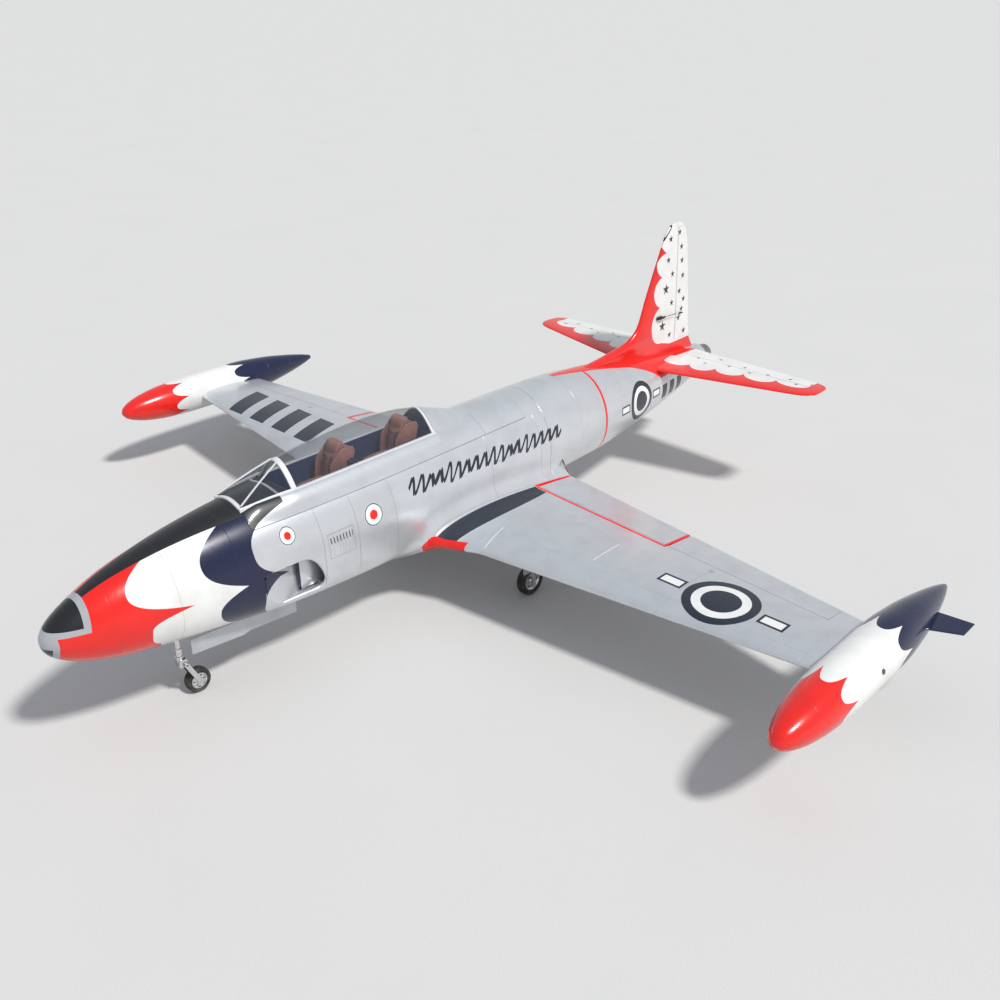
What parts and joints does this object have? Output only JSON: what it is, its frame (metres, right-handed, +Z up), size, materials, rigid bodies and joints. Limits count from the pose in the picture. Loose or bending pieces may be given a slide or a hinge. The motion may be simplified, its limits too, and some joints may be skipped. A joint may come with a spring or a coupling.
{
  "type": "rc jet plane",
  "caption": "Radio-controlled jet trainer with two seats under one long canopy, tip tanks, cheek intakes, hinged control surfaces and a folding tricycle gear.",
  "frame": {"origin": "on the ground under the middle of the model's length, in its plane of symmetry", "axes": "+X to the port wing tip, +Y aft to the tail pipe, +Z up"},
  "size_m": [2.594, 2.345, 0.773],
  "materials": {
    "skin": "satin silver paint on moulded composite",
    "sheeted_core": "satin silver paint on a sheeted foam core",
    "red_core": "satin red paint on a sheeted core",
    "white_core": "satin white paint on a sheeted core",
    "tank_shell": "satin painted shell",
    "glazing": "clear vacuum-formed plastic",
    "canopy_frame": "satin silver-white paint",
    "cockpit": "matt black",
    "seat": "soft brown cover",
    "strut": "bright machined",
    "tyre": "matt black",
    "panel": "satin grey paint",
    "hot_metal": "heat-tinted",
    "turbine": "turned",
    "ballast": "cast, matt grey",
    "plywood": "bare plywood",
    "tank_plastic": "translucent white",
    "battery": "shrink sleeve",
    "black_box": "moulded black",
    "carbon": "woven carbon tube"
  },
  "bodies": {
    "airframe": {"fuselage_front": "skin", "fuselage_rear": "skin", "wing_left": "sheeted_core", "wing_right": "sheeted_core", "tip_tank_left": "tank_shell", "tip_tank_right": "tank_shell", "fin": "red_core", "stabilizer_left": "red_core", "stabilizer_right": "red_core", "intake_duct_left": "panel", "intake_duct_right": "panel", "turbine_casing": "turbine", "exhaust_pipe": "hot_metal", "nose_ballast": "ballast", "equipment_tray": "plywood", "fuel_tank": "tank_plastic", "ecu_battery": "battery", "receiver": "black_box", "wing_joiner": "carbon", "aileron_servo_left": "black_box", "aileron_servo_right": "black_box", "flap_servo_left": "black_box", "flap_servo_right": "black_box", "nose_wheel_well": "red_core", "nose_retract_unit": "strut", "main_retract_left": "strut", "main_retract_right": "strut"},
    "canopy_hatch": {"cockpit_hatch": "skin", "canopy_frame": "canopy_frame", "canopy_glass": "glazing", "windscreen_glass": "glazing", "cockpit_tub": "cockpit", "seat_front": "seat", "seat_rear": "seat"},
    "turbine_hatch": {"turbine_cover": "skin"},
    "rotor": {"turbine_rotor": "turbine"},
    "left_flap": {"flap_left": "sheeted_core"},
    "right_flap": {"flap_right": "sheeted_core"},
    "left_aileron": {"aileron_left": "sheeted_core"},
    "right_aileron": {"aileron_right": "sheeted_core"},
    "left_elevator": {"elevator_left": "white_core"},
    "right_elevator": {"elevator_right": "white_core"},
    "rudder_panel": {"rudder": "white_core"},
    "nose_strut": {"nose_leg": "strut"},
    "nose_steering": {"nose_steering_knuckle": "strut"},
    "nose_arm": {"nose_link": "strut"},
    "nose_wheel": {"nose_tyre": "tyre", "nose_hub": "strut"},
    "left_nose_door": {"nose_door_left": "panel"},
    "right_nose_door": {"nose_door_right": "panel"},
    "left_main_strut": {"main_leg_left": "strut", "main_door_left": "panel"},
    "left_main_arm": {"main_link_left": "strut"},
    "left_main_wheel": {"main_wheel_left_tyre": "tyre", "main_wheel_left_hub": "strut"},
    "right_main_strut": {"main_leg_right": "strut", "main_door_right": "panel"},
    "right_main_arm": {"main_link_right": "strut"},
    "right_main_wheel": {"main_wheel_right_tyre": "tyre", "main_wheel_right_hub": "strut"}
  },
  "joints": [
    {"name": "canopy_hatch_lift", "type": "slide", "parent": "airframe", "child": "canopy_hatch", "axis": [0, 0, 1], "range_m": [0, 0.12]},
    {"name": "turbine_hatch_lift", "type": "slide", "parent": "airframe", "child": "turbine_hatch", "axis": [0, 0, 1], "range_m": [0, 0.12]},
    {"name": "rotor_spin", "type": "hinge", "parent": "airframe", "child": "rotor", "pos_m": [0, 0.2155, 0.285], "axis": [0, 1, 0], "continuous": true},
    {"name": "left_flap_hinge", "type": "hinge", "parent": "airframe", "child": "left_flap", "pos_m": [0.156, 0.14993, 0.17463], "axis": [-0.9958, 0.0866, -0.0281], "range_deg": [0, 45]},
    {"name": "right_flap_hinge", "type": "hinge", "parent": "airframe", "child": "right_flap", "pos_m": [-0.156, 0.14993, 0.17463], "axis": [-0.9958, -0.0866, 0.0281], "range_deg": [0, 45]},
    {"name": "left_aileron_hinge", "type": "hinge", "parent": "airframe", "child": "left_aileron", "pos_m": [0.617, 0.10982, 0.21304], "axis": [-0.9962, 0.0867, -0.0086], "range_deg": [-22, 22]},
    {"name": "right_aileron_hinge", "type": "hinge", "parent": "airframe", "child": "right_aileron", "pos_m": [-0.617, 0.10982, 0.21304], "axis": [-0.9962, -0.0867, 0.0086], "range_deg": [-22, 22]},
    {"name": "left_elevator_hinge", "type": "hinge", "parent": "airframe", "child": "left_elevator", "pos_m": [0.062, 0.9855, 0.351], "axis": [-1, 0, 0], "range_deg": [-20, 20]},
    {"name": "right_elevator_hinge", "type": "hinge", "parent": "airframe", "child": "right_elevator", "pos_m": [-0.062, 0.9855, 0.351], "axis": [-1, 0, 0], "range_deg": [-20, 20]},
    {"name": "rudder_hinge", "type": "hinge", "parent": "airframe", "child": "rudder_panel", "pos_m": [0, 0.9795, 0.392], "axis": [0, -0.0384, 0.9993], "range_deg": [-25, 25]},
    {"name": "nose_gear_retract", "type": "hinge", "parent": "airframe", "child": "nose_strut", "pos_m": [0, -0.8885, 0.205], "axis": [1, 0, 0], "range_deg": [0, 90]},
    {"name": "nose_steer", "type": "hinge", "parent": "nose_strut", "child": "nose_steering", "pos_m": [0, -0.8885, 0.112], "axis": [0, 0, 1], "range_deg": [-25, 25]},
    {"name": "nose_arm_spring", "type": "hinge", "parent": "nose_steering", "child": "nose_arm", "pos_m": [0, -0.8825, 0.09], "axis": [1, 0, 0], "range_deg": [0, 10], "stiffness_Nm_per_rad": 9, "springref_deg": -9.17},
    {"name": "nose_wheel_spin", "type": "hinge", "parent": "nose_arm", "child": "nose_wheel", "pos_m": [0, -0.8545, 0.02963], "axis": [1, 0, 0], "continuous": true},
    {"name": "left_nose_door_hinge", "type": "hinge", "parent": "airframe", "child": "left_nose_door", "pos_m": [0.046, -0.879, 0.1716], "axis": [0, 0.9976, -0.0698], "range_deg": [0, 90]},
    {"name": "right_nose_door_hinge", "type": "hinge", "parent": "airframe", "child": "right_nose_door", "pos_m": [-0.046, -0.879, 0.1716], "axis": [0, -0.9976, 0.0698], "range_deg": [0, 90]},
    {"name": "left_main_gear_retract", "type": "hinge", "parent": "airframe", "child": "left_main_strut", "pos_m": [0.281, -0.0255, 0.188], "axis": [0, 1, 0], "range_deg": [0, 90]},
    {"name": "left_main_arm_spring", "type": "hinge", "parent": "left_main_strut", "child": "left_main_arm", "pos_m": [0.281, -0.0445, 0.098], "axis": [1, 0, 0], "range_deg": [0, 10], "stiffness_Nm_per_rad": 12, "springref_deg": -11.46},
    {"name": "left_main_wheel_spin", "type": "hinge", "parent": "left_main_arm", "child": "left_main_wheel", "pos_m": [0.281, -0.0255, 0.04148], "axis": [1, 0, 0], "continuous": true},
    {"name": "right_main_gear_retract", "type": "hinge", "parent": "airframe", "child": "right_main_strut", "pos_m": [-0.281, -0.0255, 0.188], "axis": [0, -1, 0], "range_deg": [0, 90]},
    {"name": "right_main_arm_spring", "type": "hinge", "parent": "right_main_strut", "child": "right_main_arm", "pos_m": [-0.281, -0.0445, 0.098], "axis": [1, 0, 0], "range_deg": [0, 10], "stiffness_Nm_per_rad": 12, "springref_deg": -11.46},
    {"name": "right_main_wheel_spin", "type": "hinge", "parent": "right_main_arm", "child": "right_main_wheel", "pos_m": [-0.281, -0.0255, 0.04148], "axis": [1, 0, 0], "continuous": true}
  ],
  "couplings": [
    {"joint": "right_flap_hinge", "follows": "left_flap_hinge", "ratio": 1},
    {"joint": "right_aileron_hinge", "follows": "left_aileron_hinge", "ratio": -1},
    {"joint": "right_elevator_hinge", "follows": "left_elevator_hinge", "ratio": 1},
    {"joint": "right_nose_door_hinge", "follows": "left_nose_door_hinge", "ratio": 1},
    {"joint": "right_main_gear_retract", "follows": "left_main_gear_retract", "ratio": 1}
  ]
}
